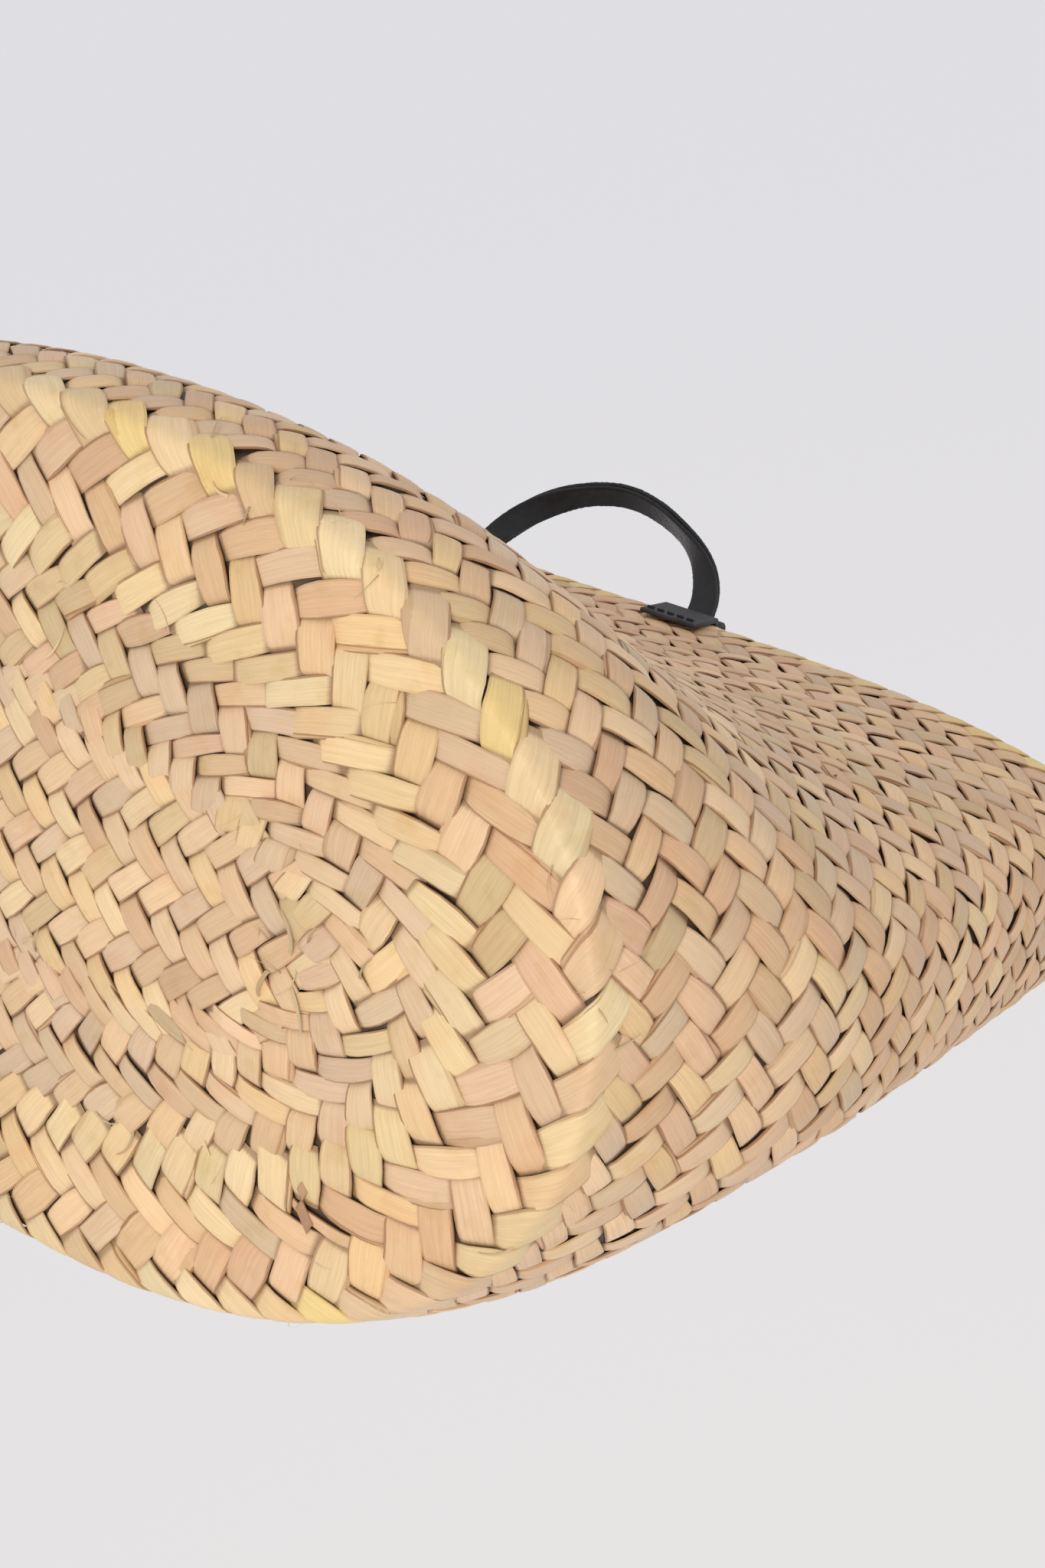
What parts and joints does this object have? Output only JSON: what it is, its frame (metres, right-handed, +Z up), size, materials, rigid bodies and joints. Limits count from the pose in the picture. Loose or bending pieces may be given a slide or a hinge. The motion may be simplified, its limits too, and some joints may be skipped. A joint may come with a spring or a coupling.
{
  "type": "beach bag",
  "caption": "Braided palm-leaf beach bag: coiled oval base, flaring wall that rises to a long open mouth, short leather strap handles hinged to leather tabs folded over the rim.",
  "frame": {"origin": "centre of the base's underside, on the surface the bag stands on", "axes": "+Z up towards the mouth, X along the bag's long side, -Y the front handle's side"},
  "size_m": [0.4488, 0.2534, 0.303],
  "materials": {
    "palm_leaf": "dry woven palm leaf, low sheen",
    "palm_fold": "folded palm leaf, low sheen",
    "twine": "twisted palm twine",
    "leather_strap": "matte black",
    "leather_tab": "matte grey-black",
    "cord": "waxed cord",
    "thread": "waxed thread"
  },
  "bodies": {
    "basket": {"base_braid_centre": "palm_leaf", "base_braid_middle": "palm_leaf", "base_braid_outer": "palm_leaf", "base_twine_inner": "twine", "base_twine_outer": "twine", "heel_fold": "palm_fold", "heel_twine": "twine", "wall_braid_1": "palm_leaf", "wall_braid_2": "palm_leaf", "wall_braid_3": "palm_leaf", "wall_braid_4": "palm_leaf", "wall_twine_1": "twine", "wall_twine_2": "twine", "wall_twine_3": "twine", "rim_fold": "palm_fold", "rim_twine": "twine", "tab_front_left": "leather_tab", "hinge_cord_front_left": "cord", "tab_stitches_front_left": "thread", "tab_front_right": "leather_tab", "hinge_cord_front_right": "cord", "tab_stitches_front_right": "thread", "tab_back_left": "leather_tab", "hinge_cord_back_left": "cord", "tab_stitches_back_left": "thread", "tab_back_right": "leather_tab", "hinge_cord_back_right": "cord", "tab_stitches_back_right": "thread"},
    "front_handle": {"strap_outer_front": "leather_strap", "strap_lining_front": "leather_strap"},
    "back_handle": {"strap_outer_back": "leather_strap", "strap_lining_back": "leather_strap"}
  },
  "joints": [
    {"name": "front_handle_hinge", "type": "hinge", "parent": "basket", "child": "front_handle", "pos_m": [0.009, -0.04593, 0.26151], "axis": [1, 0, 0], "range_deg": [-90, 60], "stiffness_Nm_per_rad": 0.08},
    {"name": "back_handle_hinge", "type": "hinge", "parent": "basket", "child": "back_handle", "pos_m": [0.009, 0.04593, 0.26151], "axis": [-1, 0, 0], "range_deg": [-90, 60], "stiffness_Nm_per_rad": 0.08}
  ]
}
